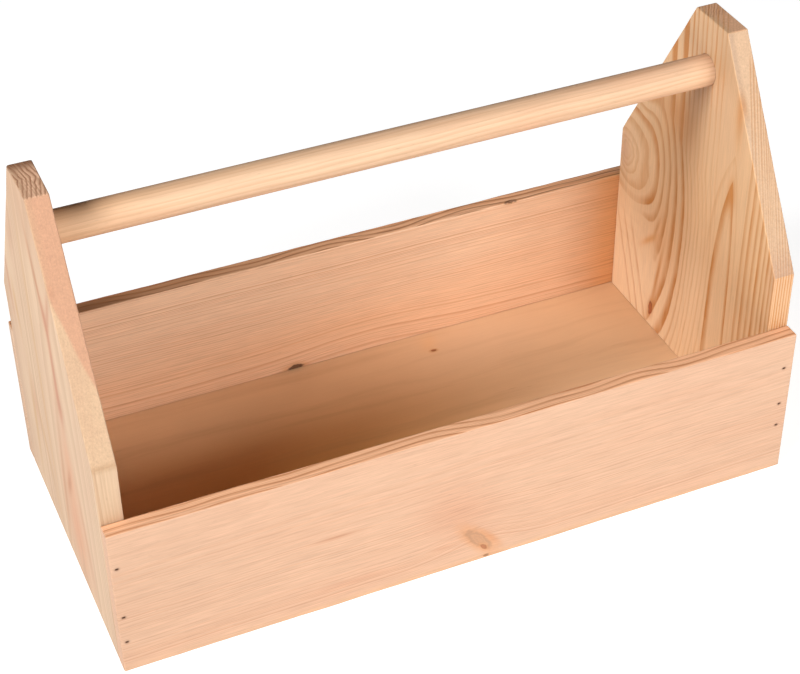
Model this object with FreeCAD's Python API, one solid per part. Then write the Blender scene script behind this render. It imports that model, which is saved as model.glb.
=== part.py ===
import FreeCAD, Part
import os

# A carpenter's open toolbox: two gabled end panels, two side boards nailed over their edges,
# a plywood bottom held in grooves, and a round dowel handle glued into blind holes.
# Frame: +X along the length, +Y from front to rear, +Z up; millimetres.
# The origin is the centre of the footprint, on the surface the box stands on.

LENGTH = 556.0              # side boards, end to end
END_THICKNESS = 18.0
END_WIDTH = 242.0           # end panels, front to rear, between the side boards
END_HEIGHT = 346.0
KNEE_HEIGHT = 183.0         # where the end panel's straight sides turn into slopes
TOP_WIDTH = 46.0            # level top of the end panel
SIDE_THICKNESS = 14.0
SIDE_HEIGHT = 135.0
EDGE_ROUND = 1.2            # sanded edges of every board

BOTTOM_THICKNESS = 6.0
BOTTOM_TOP = 19.5           # height of the inside floor
GROOVE_DEPTH = 6.0

DOWEL_DIAMETER = 25.0
DOWEL_HEIGHT = 303.0        # axis above the surface the box stands on
DOWEL_SEAT = 12.0           # depth of the blind hole in each end panel

BRAD_HEAD_LENGTH = 2.4      # along the grain of the side board
BRAD_HEAD_HEIGHT = 1.3
BRAD_HEAD_THICKNESS = 0.8
BRAD_SHANK_LENGTH = 1.25    # section of the shank, along the grain
BRAD_SHANK_HEIGHT = 1.0
BRAD_LENGTH = 40.0
BRAD_POINT = 2.5
BRAD_SINK = 0.9             # how far each head is set below the board's face
BRAD_INSET_LEFT = 5.0       # from the board's end to the brad
BRAD_INSET_RIGHT = 8.2
FRONT_LEFT_HEIGHTS = (30.0, 55.0, 103.0)
FRONT_RIGHT_HEIGHTS = (46.0, 68.0, 104.0)
REAR_HEIGHTS = (32.0, 66.0, 104.0)

X_AXIS = FreeCAD.Vector(1, 0, 0)
Y_AXIS = FreeCAD.Vector(0, 1, 0)

INNER_LENGTH = LENGTH - 2 * END_THICKNESS
BOTTOM_LENGTH = INNER_LENGTH + 2 * GROOVE_DEPTH
BOTTOM_WIDTH = END_WIDTH + 2 * GROOVE_DEPTH
BOTTOM_UNDERSIDE = BOTTOM_TOP - BOTTOM_THICKNESS
SIDE_OUTER_FACE = END_WIDTH / 2 + SIDE_THICKNESS


def box_between(low, high):
    """A block from its lowest corner to its highest."""
    size = [high[i] - low[i] for i in range(3)]
    return Part.makeBox(size[0], size[1], size[2], FreeCAD.Vector(*low))


def cylinder_along(axis, start, diameter, length):
    """A round bar that begins at start and runs along axis."""
    return Part.makeCylinder(diameter / 2, length, FreeCAD.Vector(*start), axis)


def sanded(board):
    """The board with all its edges slightly rounded."""
    return board.makeFillet(EDGE_ROUND, board.Edges)


def bottom_panel():
    """The plywood bottom, its rim in the grooves of all four boards."""
    low = (-BOTTOM_LENGTH / 2, -BOTTOM_WIDTH / 2, BOTTOM_UNDERSIDE)
    high = (BOTTOM_LENGTH / 2, BOTTOM_WIDTH / 2, BOTTOM_TOP)
    return box_between(low, high)


def handle_dowel():
    """The round handle, with both ends in the end panels."""
    length = INNER_LENGTH + 2 * DOWEL_SEAT
    return cylinder_along(X_AXIS, (-length / 2, 0, DOWEL_HEIGHT), DOWEL_DIAMETER, length)


def end_panel_blank(outer_x):
    """A six-sided end panel, its outer face at outer_x and its thickness towards the middle."""
    half_width = END_WIDTH / 2
    half_top = TOP_WIDTH / 2
    outline = [
        (-half_width, 0.0),
        (half_width, 0.0),
        (half_width, KNEE_HEIGHT),
        (half_top, END_HEIGHT),
        (-half_top, END_HEIGHT),
        (-half_width, KNEE_HEIGHT),
    ]
    corners = [FreeCAD.Vector(outer_x, y, z) for y, z in outline]
    face = Part.Face(Part.makePolygon(corners + corners[:1]))
    inward = -1.0 if outer_x > 0 else 1.0
    return sanded(face.extrude(X_AXIS * inward * END_THICKNESS))


def side_board_blank(inner_y):
    """A plain side board, its inner face at inner_y and its thickness away from the middle."""
    outer_y = inner_y + (SIDE_THICKNESS if inner_y > 0 else -SIDE_THICKNESS)
    low = (-LENGTH / 2, min(inner_y, outer_y), 0.0)
    high = (LENGTH / 2, max(inner_y, outer_y), SIDE_HEIGHT)
    return sanded(box_between(low, high))


def driven_block(x, z, inward, depth, length, height, thickness):
    """A block on a brad's line, from depth below the outer face and on along Y by inward."""
    start = -inward * (SIDE_OUTER_FACE - depth)
    end = start + inward * thickness
    low = (x - length / 2, min(start, end), z - height / 2)
    high = (x + length / 2, max(start, end), z + height / 2)
    return box_between(low, high)


def brad_point(x, z, inward):
    """The chisel point of a brad, a wedge as long as its shank is wide."""
    base_y = -inward * (SIDE_OUTER_FACE - BRAD_SINK - BRAD_LENGTH + BRAD_POINT)
    half_height = BRAD_SHANK_HEIGHT / 2
    tip_y = base_y + inward * BRAD_POINT
    outline = [(base_y, z - half_height), (base_y, z + half_height), (tip_y, z)]
    corners = [FreeCAD.Vector(x - BRAD_SHANK_LENGTH / 2, y, height) for y, height in outline]
    return Part.Face(Part.makePolygon(corners + corners[:1])).extrude(X_AXIS * BRAD_SHANK_LENGTH)


def brad(x, z, inward):
    """One brad, its oblong head under the outer face, driven along Y by inward (1 or -1)."""
    head = driven_block(
        x, z, inward, BRAD_SINK, BRAD_HEAD_LENGTH, BRAD_HEAD_HEIGHT, BRAD_HEAD_THICKNESS
    )
    shank = driven_block(
        x, z, inward, BRAD_SINK, BRAD_SHANK_LENGTH, BRAD_SHANK_HEIGHT, BRAD_LENGTH - BRAD_POINT
    )
    return head.fuse([shank, brad_point(x, z, inward)]).removeSplitter()


def brad_dent(x, z, inward):
    """The oblong dent that the set head leaves in the board's face."""
    return driven_block(x, z, inward, 0.0, BRAD_HEAD_LENGTH, BRAD_HEAD_HEIGHT, BRAD_SINK)


def brad_places():
    """The name of each group of brads, with (x, z, inward) for every brad in it."""
    left_x = -LENGTH / 2 + BRAD_INSET_LEFT
    right_x = LENGTH / 2 - BRAD_INSET_RIGHT
    return {
        "front_left_brads": [(left_x, z, 1) for z in FRONT_LEFT_HEIGHTS],
        "front_right_brads": [(right_x, z, 1) for z in FRONT_RIGHT_HEIGHTS],
        "rear_left_brads": [(left_x, z, -1) for z in REAR_HEIGHTS],
        "rear_right_brads": [(right_x, z, -1) for z in REAR_HEIGHTS],
    }


def build_nodes():
    """Every sub-part by name: the blanks, with the joinery and the brads' holes cut out of them."""
    bottom = bottom_panel()
    handle = handle_dowel()
    places = brad_places()
    brads = {name: [brad(*place) for place in group] for name, group in places.items()}
    all_brads = [solid for group in brads.values() for solid in group]
    dents = [brad_dent(*place) for group in places.values() for place in group]

    nodes = {
        "left_end_panel": end_panel_blank(-LENGTH / 2).cut([bottom, handle] + all_brads),
        "right_end_panel": end_panel_blank(LENGTH / 2).cut([bottom, handle] + all_brads),
        "front_side_board": side_board_blank(-END_WIDTH / 2).cut([bottom] + all_brads + dents),
        "rear_side_board": side_board_blank(END_WIDTH / 2).cut([bottom] + all_brads + dents),
        "bottom_panel": bottom,
        "handle_dowel": handle,
    }
    for name, group in brads.items():
        nodes[name] = Part.makeCompound(group)
    return nodes


def main():
    os.makedirs("parts", exist_ok=True)
    for name, shape in build_nodes().items():
        shape.exportStep(os.path.join("parts", name + ".step"))
        print(name, len(shape.Solids), shape.isValid(), round(shape.Volume))


main()
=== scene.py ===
import logging
import math
from abc import ABC, abstractmethod
from dataclasses import dataclass
from enum import Enum
from typing import Any, Iterable, Sequence

import bmesh
import bpy
from mathutils import Matrix, Vector, noise


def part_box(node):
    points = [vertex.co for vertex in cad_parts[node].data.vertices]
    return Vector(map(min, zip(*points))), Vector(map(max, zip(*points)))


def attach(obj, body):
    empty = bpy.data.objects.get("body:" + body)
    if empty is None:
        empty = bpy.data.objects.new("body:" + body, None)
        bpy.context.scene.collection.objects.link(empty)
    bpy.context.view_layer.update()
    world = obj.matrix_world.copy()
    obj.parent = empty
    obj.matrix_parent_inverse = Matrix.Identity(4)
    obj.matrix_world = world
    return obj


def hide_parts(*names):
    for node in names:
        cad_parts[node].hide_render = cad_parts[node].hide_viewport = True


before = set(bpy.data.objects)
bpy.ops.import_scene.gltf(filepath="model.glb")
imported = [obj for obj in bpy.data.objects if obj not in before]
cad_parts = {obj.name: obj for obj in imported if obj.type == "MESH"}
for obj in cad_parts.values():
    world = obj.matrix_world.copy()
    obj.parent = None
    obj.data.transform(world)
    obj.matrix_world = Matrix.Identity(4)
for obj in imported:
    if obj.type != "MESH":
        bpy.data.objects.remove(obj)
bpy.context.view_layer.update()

MM = 0.001
SANDED_BAND = 4 * MM
GROOVE_SLACK = 0.6 * MM
SAME_PLACE = 1e-7
LOG = logging.getLogger("carpenter_toolbox")

Colour = tuple[float, float, float]
Place = tuple[float, float, float]
Mesh = bmesh.types.BMesh

BLACK: Colour = (0.0, 0.0, 0.0)
WHITE: Colour = (1.0, 1.0, 1.0)

# A colour ramp takes 32 stops, and each line of late wood needs four of them.
LINES_PER_RAMP = 7
RAMP_MARGIN = 1.0
STOP_GAP = 0.001


class Axis(Enum):
    """A row axis, by its place in a coordinate."""

    X = 0
    Y = 1
    Z = 2


# ---- Shader graph ------------------------------------------------------------------------------


class Value:
    """A number in a shader graph; its operators add Math nodes."""

    def __init__(self, graph: "Graph", socket: bpy.types.NodeSocket) -> None:
        """Wraps a socket.

        Args:
            graph: The graph that the socket belongs to.
            socket: The output that gives the number.
        """
        self.graph = graph
        self.socket = socket

    def __add__(self, other: "Value | float") -> "Value":
        """The sum."""
        return self.graph.math("ADD", self, other)

    __radd__ = __add__

    def __sub__(self, other: "Value | float") -> "Value":
        """The difference."""
        return self.graph.math("SUBTRACT", self, other)

    def __rsub__(self, other: float) -> "Value":
        """The difference, with a plain number first."""
        return self.graph.math("SUBTRACT", other, self)

    def __mul__(self, other: "Value | float") -> "Value":
        """The product."""
        return self.graph.math("MULTIPLY", self, other)

    def __truediv__(self, other: "Value | float") -> "Value":
        """The quotient."""
        return self.graph.math("DIVIDE", self, other)

    def __abs__(self) -> "Value":
        """The size without its sign."""
        return self.graph.math("ABSOLUTE", self)

    def squared(self) -> "Value":
        """The number times itself."""
        return self * self

    def root(self) -> "Value":
        """The square root."""
        return self.graph.math("SQRT", self)

    def fraction(self) -> "Value":
        """What is over the whole number below."""
        return self.graph.math("FRACT", self)

    def floor(self) -> "Value":
        """The whole number below."""
        return self.graph.math("FLOOR", self)

    def least(self, other: "Value | float") -> "Value":
        """The lesser of the two."""
        return self.graph.math("MINIMUM", self, other)

    def most(self, other: "Value | float") -> "Value":
        """The greater of the two."""
        return self.graph.math("MAXIMUM", self, other)

    def within(self, low: float, high: float) -> "Value":
        """The number, kept between two bounds."""
        return self.most(low).least(high)

    def fall(self) -> "Value":
        """One at zero, falling away to nothing as the number grows."""
        return self.graph.math("EXPONENT", self * -1.0)

    def rise(self, low: float, high: float) -> "Value":
        """A soft step from 0 at low to 1 at high.

        Args:
            low: Where the step starts.
            high: Where the step ends.

        Returns:
            The step, between 0 and 1.
        """
        inputs = {"Value": self, "From Min": low, "From Max": high, "To Min": 0.0, "To Max": 1.0}
        node = self.graph.add("ShaderNodeMapRange", {"interpolation_type": "SMOOTHSTEP"}, inputs)
        return Value(self.graph, node.outputs["Result"])

    def late_part(self, start: float, full: float, end: float) -> "Value":
        """The dark late wood of each year, where the number counts years.

        Args:
            start: The share of the year where it starts to darken.
            full: The share where it is darkest.
            end: The share where it starts to end.

        Returns:
            The darkness, between 0 and 1.
        """
        growth = self.fraction()
        return growth.rise(start, full) * (1.0 - growth.rise(end, 1.0))


class Graph:
    """One material's nodes, built up from its Principled BSDF."""

    def __init__(self, name: str) -> None:
        """Makes the material.

        Args:
            name: The material's name.
        """
        self.material = bpy.data.materials.new(name)
        self.material.use_nodes = True
        self.nodes = self.material.node_tree.nodes
        self.links = self.material.node_tree.links
        self.shader = self.nodes["Principled BSDF"]

    def add(self, kind: str, settings: dict[str, Any], inputs: dict[Any, Any]) -> bpy.types.Node:
        """Adds a node of any type.

        Args:
            kind: The node's type.
            settings: Its settings, set first; "stops" holds a ramp's (place, colour) pairs.
            inputs: A value, colour or link for each named or numbered input.

        Returns:
            The node.
        """
        node = self.nodes.new(kind)
        for name, setting in settings.items():
            if name == "stops":
                self.set_stops(node.color_ramp, setting)
            else:
                setattr(node, name, setting)
        for name, given in inputs.items():
            self.feed(node.inputs[name], given)
        return node

    def feed(self, socket: bpy.types.NodeSocket, given: Any) -> None:
        """Links or sets an input.

        Args:
            socket: The input.
            given: A Value, an output socket, a number, a vector or a colour.
        """
        if isinstance(given, Value):
            given = given.socket
        if isinstance(given, bpy.types.NodeSocket):
            self.links.new(given, socket)
        elif socket.type == "RGBA" and len(given) == 3:
            socket.default_value = (*given, 1.0)
        else:
            socket.default_value = given

    @staticmethod
    def set_stops(ramp: bpy.types.ColorRamp, stops: Sequence[tuple[float, Colour]]) -> None:
        """Gives a colour ramp its stops.

        Args:
            ramp: The ramp.
            stops: Each stop's place and colour, in order.
        """
        while len(ramp.elements) < len(stops):
            ramp.elements.new(1.0)
        for element, (place, colour) in zip(ramp.elements, stops):
            element.position = place
            element.color = (*colour, 1.0)

    def math(self, operation: str, *terms: "Value | float") -> Value:
        """Adds a Math node.

        Args:
            operation: The node's operation.
            terms: Its one to three inputs.

        Returns:
            The result.
        """
        inputs = dict(enumerate(terms))
        node = self.add("ShaderNodeMath", {"operation": operation}, inputs)
        return Value(self, node.outputs[0])

    def blend(self, share: "Value | float", first: Any, second: Any, how: str = "MIX") -> Any:
        """Mixes two colours.

        Args:
            share: How much of the second colour there is, from 0 to 1.
            first: The first colour.
            second: The second colour.
            how: The Mix node's blend type.

        Returns:
            The mixed colour's socket.
        """
        settings = {"data_type": "RGBA", "blend_type": how, "clamp_factor": True}
        node = self.add("ShaderNodeMix", settings, {0: share, 6: first, 7: second})
        return node.outputs[2]

    def shaded(self, colour: Any, level: Value) -> Any:
        """A colour made darker or lighter by a factor."""
        return self.blend(1.0, colour, self.vector(level, level, level), "MULTIPLY")

    def late_lines(self, value: Value, lines: Sequence["RingLine"]) -> Value:
        """Dark lines that fade in and end sharply, each at its own place.

        Args:
            value: The place across the rings, in millimetres.
            lines: The lines, in order.

        Returns:
            How dark the wood is, from 0 to 1.
        """
        total = self.math("ADD", 0.0, 0.0)
        for start in range(0, len(lines), LINES_PER_RAMP):
            group = lines[start : start + LINES_PER_RAMP]
            low = group[0].place - group[0].width - RAMP_MARGIN
            span = group[-1].place + RAMP_MARGIN - low
            stops = [(0.0, BLACK)]
            for line in group:
                for place, darkness in line.outline():
                    share = max((place - low) / span, stops[-1][0] + STOP_GAP)
                    stops.append((share, (darkness,) * 3))
            ramp = self.add("ShaderNodeValToRGB", {"stops": stops}, {"Fac": (value - low) / span})
            total = total + Value(self, ramp.outputs["Color"])
        return total

    def vector(self, x: Any, y: Any, z: Any) -> Any:
        """A vector's socket from three numbers."""
        return self.add("ShaderNodeCombineXYZ", {}, {0: x, 1: y, 2: z}).outputs[0]

    def noise(self, place: Any, detail: float = 2.0, roughness: float = 0.5) -> Value:
        """Soft noise about zero, with features about one unit of place wide.

        Args:
            place: The vector to read it at.
            detail: How many finer layers it has.
            roughness: How strong the finer layers are.

        Returns:
            The noise, from about -0.5 to 0.5.
        """
        inputs = {"Vector": place, "Scale": 1.0, "Detail": detail, "Roughness": roughness}
        node = self.add("ShaderNodeTexNoise", {"noise_dimensions": "3D"}, inputs)
        return Value(self, node.outputs[0]) - 0.5

    def noise_along(self, value: Value, detail: float = 0.0) -> Value:
        """Soft noise about zero along one number.

        Args:
            value: The number to read it at.
            detail: How many finer layers it has.

        Returns:
            The noise, from about -0.5 to 0.5.
        """
        inputs = {"W": value, "Scale": 1.0, "Detail": detail}
        node = self.add("ShaderNodeTexNoise", {"noise_dimensions": "1D"}, inputs)
        return Value(self, node.outputs[0]) - 0.5

    def position(self) -> tuple[Value, Value, Value]:
        """The shaded point's place in the frame.

        Returns:
            Its X, Y and Z in millimetres.
        """
        coordinates = self.add("ShaderNodeTexCoord", {}, {})
        split = self.add("ShaderNodeSeparateXYZ", {}, {0: coordinates.outputs["Object"]})
        return tuple(Value(self, output) / MM for output in split.outputs)

    def facing(self, axis: Axis) -> Value:
        """How squarely the surface faces along an axis.

        Args:
            axis: The axis.

        Returns:
            1 where it faces along the axis, either way, and 0 where it is square to it.
        """
        coordinates = self.add("ShaderNodeTexCoord", {}, {})
        split = self.add("ShaderNodeSeparateXYZ", {}, {0: coordinates.outputs["Normal"]})
        return abs(Value(self, split.outputs[axis.value]))

    def bump(self, height: Value) -> None:
        """Raises the surface.

        Args:
            height: The height in millimetres.
        """
        inputs = {"Strength": 1.0, "Distance": MM, "Height": height}
        node = self.add("ShaderNodeBump", {}, inputs)
        self.feed(self.shader.inputs["Normal"], node.outputs["Normal"])

    def finish(self, colour: Any, roughness: Any, specular: float) -> bpy.types.Material:
        """Sets the shader's colour, roughness and specular level.

        Args:
            colour: The base colour.
            roughness: The roughness.
            specular: The specular level, the same all over.

        Returns:
            The material.
        """
        self.feed(self.shader.inputs["Base Color"], colour)
        self.feed(self.shader.inputs["Roughness"], roughness)
        self.feed(self.shader.inputs["Specular IOR Level"], specular)
        return self.material


# ---- Finishes ----------------------------------------------------------------------------------


@dataclass(frozen=True)
class RingLine:
    """One dark line of late wood, which fades in over its width and ends sharply (millimetres)."""

    place: float
    width: float
    darkness: float
    crest: float = 0.4
    body_share: float = 0.4
    body_darkness: float = 0.8

    def outline(self) -> list[tuple[float, float]]:
        """The line's course: clear, most of the way, darkest, and clear again.

        Returns:
            Four places, each with its darkness.
        """
        return [
            (self.place - self.width, 0.0),
            (self.place - self.width * self.body_share, self.darkness * self.body_darkness),
            (self.place - self.crest, self.darkness),
            (self.place + self.crest, 0.0),
        ]


@dataclass(frozen=True)
class Point:
    """A shaded point in a board's own directions (millimetres).

    It holds the place along the grain, across the board, and down from the better face.
    """

    graph: Graph
    along: Value
    across: Value
    depth: Value

    def noise(self, long: float, wide: float, detail: float, roughness: float) -> Value:
        """Soft noise about zero, drawn out along the grain.

        Args:
            long: The length of its features.
            wide: Their width and depth.
            detail: How many finer layers it has.
            roughness: How strong the finer layers are.

        Returns:
            The noise, from about -0.5 to 0.5.
        """
        place = self.graph.vector(self.along / long, self.across / wide, self.depth / wide)
        return self.graph.noise(place, detail, roughness)


@dataclass(frozen=True)
class Swell:
    """A place where the growth rings bulge towards the face or dip from it (millimetres)."""

    along: float
    across: float
    reach_along: float
    reach_across: float
    lift: float

    def field(self, point: Point) -> Value:
        """The swell's part of the ring distance.

        Args:
            point: The shaded point.

        Returns:
            The lift there.
        """
        run = ((point.along - self.along) / self.reach_along).squared()
        side = ((point.across - self.across) / self.reach_across).squared()
        return (run + side).fall() * self.lift


@dataclass(frozen=True)
class Patch:
    """A leaning oval in the board's face (millimetres, degrees)."""

    along: float
    across: float
    half_length: float
    half_width: float
    lean: float

    def spread(self, point: Point) -> Value:
        """The square of the distance from the oval's middle, where 1 is its rim.

        Args:
            point: The shaded point.

        Returns:
            The squared distance.
        """
        cos = math.cos(math.radians(self.lean))
        sin = math.sin(math.radians(self.lean))
        run = point.along - self.along
        side = point.across - self.across
        long_way = (run * cos + side * sin) / self.half_length
        short_way = (side * cos - run * sin) / self.half_width
        return long_way.squared() + short_way.squared()


@dataclass(frozen=True)
class Tint(Patch):
    """A soft patch of another tone in the board; some are the wood's own tone, others are painted
    light and shade.
    """

    tone: Colour
    strength: float
    through: bool = False

    def paint(self, point: Point, colour: Any, near: Value) -> Any:
        """Paints the patch over the board's colour.

        Args:
            point: The shaded point.
            colour: The board's colour.
            near: 1 close to the better face and 0 deeper, for a patch that isn't right through.

        Returns:
            The new colour.
        """
        share = self.spread(point).fall() * self.strength
        return point.graph.blend(share if self.through else share * near, colour, self.tone)


@dataclass(frozen=True)
class Knot(Patch):
    """The cut end of a branch in the board's face."""

    core: Colour
    rim: Colour
    strength: float = 1.0
    halo: float = 0.35
    halo_tone: Colour = (0.62, 0.27, 0.10)
    rim_share: float = 0.7
    core_share: float = 0.8
    ring_share: float = 0.35
    rings: float = 2.6
    unevenness: float = 0.9

    def distance(self, point: Point, wobble: Value) -> Value:
        """How far a point is from the knot's middle, where 1 is its rim.

        Args:
            point: The shaded point.
            wobble: Noise that makes the rim uneven.

        Returns:
            The distance.
        """
        return self.spread(point).root() + wobble * self.unevenness

    def paint(self, graph: Graph, colour: Any, distance: Value) -> Any:
        """Paints the knot over the board's colour.

        Args:
            graph: The material's graph.
            colour: The board's colour.
            distance: The distance from the knot's middle.

        Returns:
            The new colour.
        """
        halo = (1.0 - distance.rise(0.8, 2.6)) * self.halo
        body = (1.0 - distance.rise(0.75, 1.15)) * self.strength
        ring = ((distance * self.rings).fraction() - 0.5) * 2.0
        edge = (1.0 - (abs(distance - 0.95) / 0.3).least(1.0)) * self.strength * self.rim_share
        colour = graph.blend(halo, colour, self.halo_tone)
        colour = graph.blend(body * self.core_share, colour, self.core)
        colour = graph.blend(body * abs(ring) * self.ring_share, colour, self.rim)
        return graph.blend(edge, colour, self.rim)


class Figure(ABC):
    """How a tree's growth rings show in one board."""

    @abstractmethod
    def late(self, point: Point) -> Value:
        """How much late wood there is at a point.

        Args:
            point: The shaded point.

        Returns:
            The darkness, from 0 to 1.
        """


@dataclass(frozen=True)
class Rings(Figure):
    """Rings round a heart that lies beside the board (millimetres)."""

    heart_across: float
    heart_depth: float
    spacing: float
    taper: float
    wander: float
    wander_length: float
    wander_width: float
    fade_in: float = 0.30
    swells: tuple[Swell, ...] = ()
    quiet_across: float = 0.0
    quiet_reach: float = 1.0
    quiet: float = 0.0
    year_stretch: float = 1.4
    year_unevenness: float = 2.2
    group_unevenness: float = 1.6
    strongest: float = 1.4

    def late(self, point: Point) -> Value:
        """The rings' late wood, each year a little different from the last.

        Args:
            point: The shaded point.

        Returns:
            The darkness, from 0 to 1.
        """
        graph = point.graph
        side = (point.across - self.heart_across).squared()
        down = (point.depth - self.heart_depth).squared()
        distance = (side + down).root() + point.along * self.taper
        drift = point.noise(self.wander_length, self.wander_width, 2.0, 0.4)
        distance = distance + drift * self.wander
        for swell in self.swells:
            distance = distance + swell.field(point)
        years = distance / self.spacing
        years = years + graph.noise_along(years * 0.37) * self.year_stretch
        late = years.late_part(self.fade_in, 0.92, 0.94)
        year_noise = graph.noise_along(years.floor() * 1.37 + 0.5)
        year_strength = year_noise * self.year_unevenness + 1.0
        group_strength = graph.noise_along(years * 0.13 + 4.0) * self.group_unevenness + 1.0
        calm = ((point.across - self.quiet_across) / self.quiet_reach).squared().fall()
        near_face = 1.0 - point.depth.rise(0.6, 3.0)
        loud = 1.0 - calm * near_face * self.quiet
        return (late * year_strength * group_strength * loud).within(0.0, self.strongest)


@dataclass(frozen=True)
class OvalsAndSpike(Figure):
    """Ovals at the rear edge, and upright lines round a spike near the front (millimetres)."""

    oval_across: float = 101.0
    oval_along: float = 170.0
    spike_across: float = -51.0
    spike_tip: float = 232.0
    spike_half: float = 21.0
    spike_length: float = 50.0
    zone_edge: float = -34.0
    front_edge: float = -129.0
    ovals: tuple[RingLine, ...] = (
        RingLine(8.0, 3.5, 0.22), RingLine(14.0, 4.0, 0.30), RingLine(21.0, 5.0, 0.36),
        RingLine(33.0, 8.0, 0.52), RingLine(45.5, 8.0, 0.92), RingLine(54.5, 4.5, 0.62),
        RingLine(65.0, 5.5, 0.72), RingLine(76.5, 7.0, 0.92), RingLine(89.0, 7.0, 0.96),
        RingLine(95.5, 2.5, 0.50), RingLine(101.0, 2.5, 0.38), RingLine(107.0, 2.5, 0.26),
        RingLine(112.0, 2.5, 0.36), RingLine(118.5, 2.5, 0.22), RingLine(124.0, 2.5, 0.32),
        RingLine(131.0, 2.5, 0.26), RingLine(137.0, 2.5, 0.20),
    )
    uprights: tuple[RingLine, ...] = (
        RingLine(5.0, 2.5, 0.60), RingLine(9.5, 3.0, 0.70), RingLine(14.0, 3.0, 0.80),
        RingLine(20.0, 4.0, 0.84), RingLine(25.5, 3.0, 0.74), RingLine(33.0, 5.0, 0.84),
        RingLine(40.0, 4.0, 0.66), RingLine(48.5, 5.5, 0.74), RingLine(56.0, 4.5, 0.56),
    )
    spike: tuple[RingLine, ...] = (RingLine(21.0, 8.0, 0.85), RingLine(33.0, 5.0, 0.22))
    fan: tuple[RingLine, ...] = (
        RingLine(-3.0, 4.0, 0.46), RingLine(9.0, 4.0, 0.50), RingLine(22.0, 5.0, 0.42),
    )
    fan_tip: float = 121.0
    top_reach: float = 68.0
    squeeze_above: float = 0.33
    squeeze_below: float = 0.58
    heart_size: tuple[float, float] = (12.0, 42.0)
    heart_stir: float = 11.0
    drift: float = 3.6
    patchiness: float = 1.5
    top_darkening: float = 1.3
    rear_depth_shift: float = 1.6
    front_depth_shift: float = -3.0
    edge_spacing: float = 7.2

    def oval_field(self, point: Point) -> Value:
        """The distance from the ovals' middle, drawn out where the lines run upright.

        Args:
            point: The shaded point.

        Returns:
            The distance.
        """
        side = self.oval_across - point.across + point.depth * self.rear_depth_shift
        rise = point.along - self.oval_along
        away = (side.squared() + rise.squared()).root()
        inner = 1.0 - away.rise(*self.heart_size)
        side = side + inner * 11.0
        rise = rise + inner * 4.0 + side.rise(50.0, 95.0) * 26.0
        rise = rise.least(self.top_reach) + (rise - self.top_reach).most(0.0) * 0.12
        upper = rise.rise(-12.0, 12.0)
        above = side.rise(10.0, 50.0) * self.squeeze_above
        below = (side + abs(rise) * 0.3).rise(30.0, 90.0) * self.squeeze_below
        squeeze = 1.0 - above * upper - below * (1.0 - upper)
        stir_place = point.graph.vector(point.along / 17.0, point.across / 12.0, 0.4)
        stir = point.graph.noise(stir_place, 2.0, 0.5) * self.heart_stir
        return (side.squared() + (rise * squeeze).squared()).root() + inner * stir

    def rear_lines(self, point: Point, drift: Value, ripple: Value) -> Value:
        """The ovals, which fade out in front of the spot where no lines show.

        Args:
            point: The shaded point.
            drift: Slow noise, in millimetres.
            ripple: Quick noise, about zero.

        Returns:
            The darkness.
        """
        along, across = point.along, point.across
        ovals = self.oval_field(point) + drift + ripple * 0.9
        line_end = 46.0 + along.rise(94.0, 128.0) * 27.0 + (1.0 - along.rise(45.0, 85.0)) * 8.0
        past_end = (across - line_end + ripple * 16.0).rise(-8.0, 12.0)
        inner_fade = 1.0 - past_end * (1.0 - along.rise(116.0, 152.0)) * 0.94
        return point.graph.late_lines(ovals, self.ovals) * inner_fade

    def front_lines(self, point: Point, drift: Value) -> Value:
        """The upright lines, with more of them past the first, right at the front edge.

        Args:
            point: The shaded point.
            drift: Slow noise, in millimetres.

        Returns:
            The darkness.
        """
        place = point.across - self.front_edge
        place = place + point.depth * self.front_depth_shift + drift * 0.45
        place = place + (point.along - 150.0).squared() * 0.00012
        edge_lines = (place / self.edge_spacing).late_part(0.35, 0.9, 0.93)
        edge_lines = edge_lines * (1.0 - place.rise(-1.0, 3.0))
        return point.graph.late_lines(place, self.uprights) + edge_lines

    def spike_lines(self, point: Point, drift: Value) -> Value:
        """The lines round the spike, which opens out towards the base.

        Args:
            point: The shaded point.
            drift: Slow noise, in millimetres.

        Returns:
            The darkness.
        """
        open_out = ((self.spike_tip - point.along) / self.spike_length).fall() * self.spike_half
        side = point.across - self.spike_across
        lopsided = side.most(0.0) + (side * -1.9).most(0.0)
        place = lopsided + open_out + drift * 0.5 + point.depth * 1.2
        return point.graph.late_lines(place, self.spike) * (1.0 - side.rise(24.0, 30.0))

    def late(self, point: Point) -> Value:
        """The late wood of the ovals, the spike, the upright lines and the fan below the ovals.

        Args:
            point: The shaded point.

        Returns:
            The darkness, from 0 to 1.
        """
        along, across = point.along, point.across
        drift = point.noise(70.0, 26.0, 3.0, 0.5) * self.drift
        ripple = point.noise(14.0, 9.0, 2.0, 0.5)
        patchy = point.noise(38.0, 9.0, 3.0, 0.6)
        rear_zone = across.rise(self.zone_edge - 6.0, self.zone_edge + 4.0)
        late = self.rear_lines(point, drift, ripple) * rear_zone
        late = late + self.front_lines(point, drift) * (1.0 - rear_zone)
        late = late + self.spike_lines(point, drift)
        fan_place = self.fan_tip - across - (120.0 - along) * 0.40 + drift
        fan_zone = (1.0 - along.rise(85.0, 120.0)) * across.rise(54.0, 66.0)
        late = late + point.graph.late_lines(fan_place, self.fan) * fan_zone
        top = 1.0 + along.rise(240.0, 300.0) * self.top_darkening
        return (late * (1.0 + patchy * self.patchiness) * top).within(0.0, 1.0)


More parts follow.
